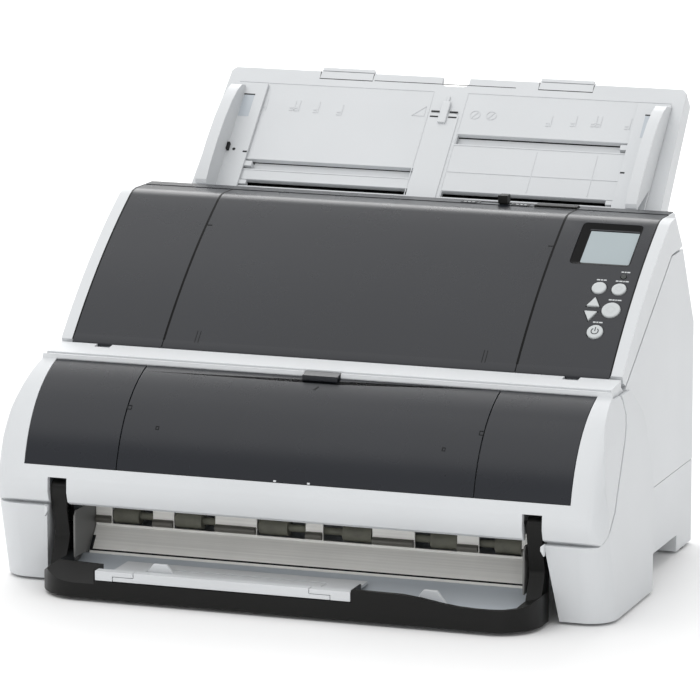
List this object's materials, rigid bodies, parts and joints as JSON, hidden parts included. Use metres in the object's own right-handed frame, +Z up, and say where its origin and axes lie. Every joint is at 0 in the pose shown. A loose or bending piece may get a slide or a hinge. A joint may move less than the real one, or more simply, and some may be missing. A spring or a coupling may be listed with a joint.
{
  "type": "sheet fed document scanner",
  "caption": "Desktop sheet fed scanner with a sloped dark feeder cover, paper chute, side guides and operator panel, on a lower printing unit with a fold-down stacker.",
  "frame": {"origin": "centre of the machine's box at the desk surface, with the stacker open as stored", "axes": "+X to the machine's right seen from the front, -Y towards the user, +Z up"},
  "size_m": [0.408, 0.37, 0.2917],
  "materials": {
    "shell_white": "fine matt texture",
    "panel_charcoal": "satin",
    "stacker_black": "satin",
    "tray_grey": "satin",
    "roller_rubber": "matt",
    "foot_rubber": "matt",
    "plate_steel": "satin",
    "button_grey": "gloss",
    "scan_glass": "clear over a pale display",
    "status_lens": "gloss",
    "gear_nylon": "satin",
    "motor_steel": "satin",
    "board_green": "solder mask",
    "inner_black": "matt"
  },
  "bodies": {
    "base": {"base_chassis": "shell_white", "side_housing_left": "shell_white", "side_housing_right": "shell_white", "foot_front_left": "foot_rubber", "foot_front_right": "foot_rubber", "foot_rear_left": "foot_rubber", "foot_rear_right": "foot_rubber", "exit_plate": "plate_steel", "exit_motor": "motor_steel", "imprinter_shell": "shell_white", "imprinter_panel_left": "panel_charcoal", "imprinter_panel_right": "panel_charcoal", "carriage_rail": "motor_steel", "scanner_body": "shell_white", "rear_cover": "shell_white", "drive_motor": "motor_steel", "lower_scan_unit": "inner_black", "main_board": "board_green", "power_inlet": "inner_black", "data_port": "inner_black", "chute_panel": "shell_white", "chute_back": "shell_white"},
    "feeder": {"feeder_frame": "shell_white", "feeder_panel_left": "panel_charcoal", "feeder_cover": "panel_charcoal", "operator_panel": "panel_charcoal", "display_window": "scan_glass", "status_lens": "status_lens", "upper_scan_unit": "inner_black"},
    "stacker": {"stacker_frame": "stacker_black", "stacker_tray": "tray_grey", "stacker_side_tray": "tray_grey"},
    "imprinter_door": {"imprinter_door": "panel_charcoal"},
    "imprinter_latch": {"imprinter_latch": "panel_charcoal"},
    "print_carriage": {"print_carriage": "inner_black"},
    "exit_roller": {"exit_roller": "roller_rubber"},
    "exit_pinion": {"exit_pinion": "gear_nylon"},
    "stacker_extension": {"stacker_extension": "shell_white"},
    "stacker_extension_inner": {"stacker_extension_inner": "shell_white"},
    "stopper_left": {"stopper_left": "shell_white"},
    "stopper_right": {"stopper_right": "shell_white"},
    "menu_button": {"menu_button": "button_grey"},
    "stop_button": {"stop_button": "button_grey"},
    "scan_button": {"scan_button": "button_grey"},
    "power_button": {"power_button": "button_grey"},
    "up_button": {"up_button": "button_grey"},
    "down_button": {"down_button": "button_grey"},
    "feed_lever": {"feed_lever": "stacker_black"},
    "release_tab": {"release_tab": "stacker_black"},
    "brake_roller": {"brake_roller": "roller_rubber"},
    "pick_roller": {"pick_roller": "roller_rubber"},
    "feed_roller": {"feed_roller": "roller_rubber"},
    "eject_roller": {"eject_roller": "roller_rubber"},
    "idler_gear": {"idler_gear": "gear_nylon"},
    "motor_gear": {"motor_gear": "gear_nylon"},
    "chute_extension": {"chute_extension": "shell_white"},
    "side_guide_left": {"side_guide_left": "shell_white"},
    "side_guide_right": {"side_guide_right": "shell_white"},
    "guide_pinion": {"guide_pinion": "gear_nylon"}
  },
  "joints": [
    {"name": "feeder_hinge", "type": "hinge", "parent": "base", "child": "feeder", "pos_m": [0, -0.0708, 0.1436], "axis": [1, 0, 0], "range_deg": [0, 85]},
    {"name": "menu_button_press", "type": "slide", "parent": "feeder", "child": "menu_button", "axis": [0, 0.5938, -0.8046], "range_m": [0, 0.001], "stiffness_N_per_m": 400},
    {"name": "stop_button_press", "type": "slide", "parent": "feeder", "child": "stop_button", "axis": [0, 0.5941, -0.8044], "range_m": [0, 0.001], "stiffness_N_per_m": 400},
    {"name": "scan_button_press", "type": "slide", "parent": "feeder", "child": "scan_button", "axis": [0, 0.6243, -0.7812], "range_m": [0, 0.001], "stiffness_N_per_m": 400},
    {"name": "power_button_press", "type": "slide", "parent": "feeder", "child": "power_button", "axis": [0, 0.6541, -0.7564], "range_m": [0, 0.001], "stiffness_N_per_m": 400},
    {"name": "up_button_press", "type": "slide", "parent": "feeder", "child": "up_button", "axis": [0, 0.6163, -0.7875], "range_m": [0, 0.001], "stiffness_N_per_m": 400},
    {"name": "down_button_press", "type": "slide", "parent": "feeder", "child": "down_button", "axis": [0, 0.6319, -0.7751], "range_m": [0, 0.001], "stiffness_N_per_m": 400},
    {"name": "feed_lever_slide", "type": "slide", "parent": "feeder", "child": "feed_lever", "axis": [-1, 0, 0], "range_m": [0, 0.012]},
    {"name": "release_tab_press", "type": "slide", "parent": "feeder", "child": "release_tab", "axis": [0, 0, -1], "range_m": [0, 0.0018], "stiffness_N_per_m": 600},
    {"name": "imprinter_door_hinge", "type": "hinge", "parent": "base", "child": "imprinter_door", "pos_m": [0, -0.1548, 0.0796], "axis": [1, 0, 0], "range_deg": [0, 60]},
    {"name": "imprinter_latch_press", "type": "slide", "parent": "imprinter_door", "child": "imprinter_latch", "axis": [0, 0, -1], "range_m": [0, 0.0015], "stiffness_N_per_m": 600},
    {"name": "print_carriage_slide", "type": "slide", "parent": "base", "child": "print_carriage", "axis": [1, 0, 0], "range_m": [-0.15, 0.11]},
    {"name": "exit_roller_spin", "type": "hinge", "parent": "base", "child": "exit_roller", "pos_m": [0, -0.1086, 0.0395], "axis": [1, 0, 0], "continuous": true},
    {"name": "exit_pinion_spin", "type": "hinge", "parent": "base", "child": "exit_pinion", "pos_m": [0, -0.0894, 0.0395], "axis": [1, 0, 0], "continuous": true},
    {"name": "stacker_hinge", "type": "hinge", "parent": "base", "child": "stacker", "pos_m": [0, -0.15, 0.064], "axis": [-1, 0, 0], "range_deg": [0, 88]},
    {"name": "stacker_extension_slide", "type": "slide", "parent": "stacker", "child": "stacker_extension", "axis": [0, -1, 0], "range_m": [0, 0.028]},
    {"name": "stacker_extension_inner_slide", "type": "slide", "parent": "stacker_extension", "child": "stacker_extension_inner", "axis": [0, -1, 0], "range_m": [0, 0.025]},
    {"name": "stopper_left_fold", "type": "hinge", "parent": "stacker_extension_inner", "child": "stopper_left", "pos_m": [-0.082, -0.1712, 0.0168], "axis": [-1, 0, 0], "range_deg": [0, 85]},
    {"name": "stopper_right_fold", "type": "hinge", "parent": "stacker", "child": "stopper_right", "pos_m": [0.095, -0.1644, 0.0129], "axis": [-1, 0, 0], "range_deg": [0, 85]},
    {"name": "brake_roller_spin", "type": "hinge", "parent": "feeder", "child": "brake_roller", "pos_m": [0, 0.02975, 0.16358], "axis": [1, 0, 0], "continuous": true},
    {"name": "feed_roller_spin", "type": "hinge", "parent": "base", "child": "feed_roller", "pos_m": [0, 0.04285, 0.14982], "axis": [1, 0, 0], "continuous": true},
    {"name": "pick_roller_spin", "type": "hinge", "parent": "base", "child": "pick_roller", "pos_m": [0, 0.06139, 0.16748], "axis": [1, 0, 0], "continuous": true},
    {"name": "idler_gear_spin", "type": "hinge", "parent": "base", "child": "idler_gear", "pos_m": [0, 0.01388, 0.12224], "axis": [1, 0, 0], "continuous": true},
    {"name": "eject_roller_spin", "type": "hinge", "parent": "base", "child": "eject_roller", "pos_m": [0, -0.01508, 0.09465], "axis": [1, 0, 0], "continuous": true},
    {"name": "motor_gear_spin", "type": "hinge", "parent": "base", "child": "motor_gear", "pos_m": [0, 0.03595, 0.09906], "axis": [1, 0, 0], "continuous": true},
    {"name": "chute_extension_slide", "type": "slide", "parent": "base", "child": "chute_extension", "axis": [0, 0.7241, 0.6896], "range_m": [0, 0.075]},
    {"name": "side_guide_right_slide", "type": "slide", "parent": "base", "child": "side_guide_right", "axis": [-1, 0, 0], "range_m": [0, 0.11]},
    {"name": "side_guide_left_slide", "type": "slide", "parent": "base", "child": "side_guide_left", "axis": [1, 0, 0], "range_m": [0, 0.11]},
    {"name": "guide_pinion_spin", "type": "hinge", "parent": "base", "child": "guide_pinion", "pos_m": [0, 0.13047, 0.23907], "axis": [0, -0.6896, 0.7241], "range_deg": [0, 500]}
  ],
  "couplings": [
    {"joint": "exit_pinion_spin", "follows": "exit_roller_spin", "ratio": -1.4},
    {"joint": "pick_roller_spin", "follows": "feed_roller_spin", "ratio": -1.6667},
    {"joint": "idler_gear_spin", "follows": "feed_roller_spin", "ratio": -0.66667},
    {"joint": "eject_roller_spin", "follows": "feed_roller_spin", "ratio": 1},
    {"joint": "motor_gear_spin", "follows": "feed_roller_spin", "ratio": 2},
    {"joint": "side_guide_left_slide", "follows": "side_guide_right_slide", "ratio": 1},
    {"joint": "guide_pinion_spin", "follows": "side_guide_right_slide", "rad_per_m": 78.125}
  ]
}
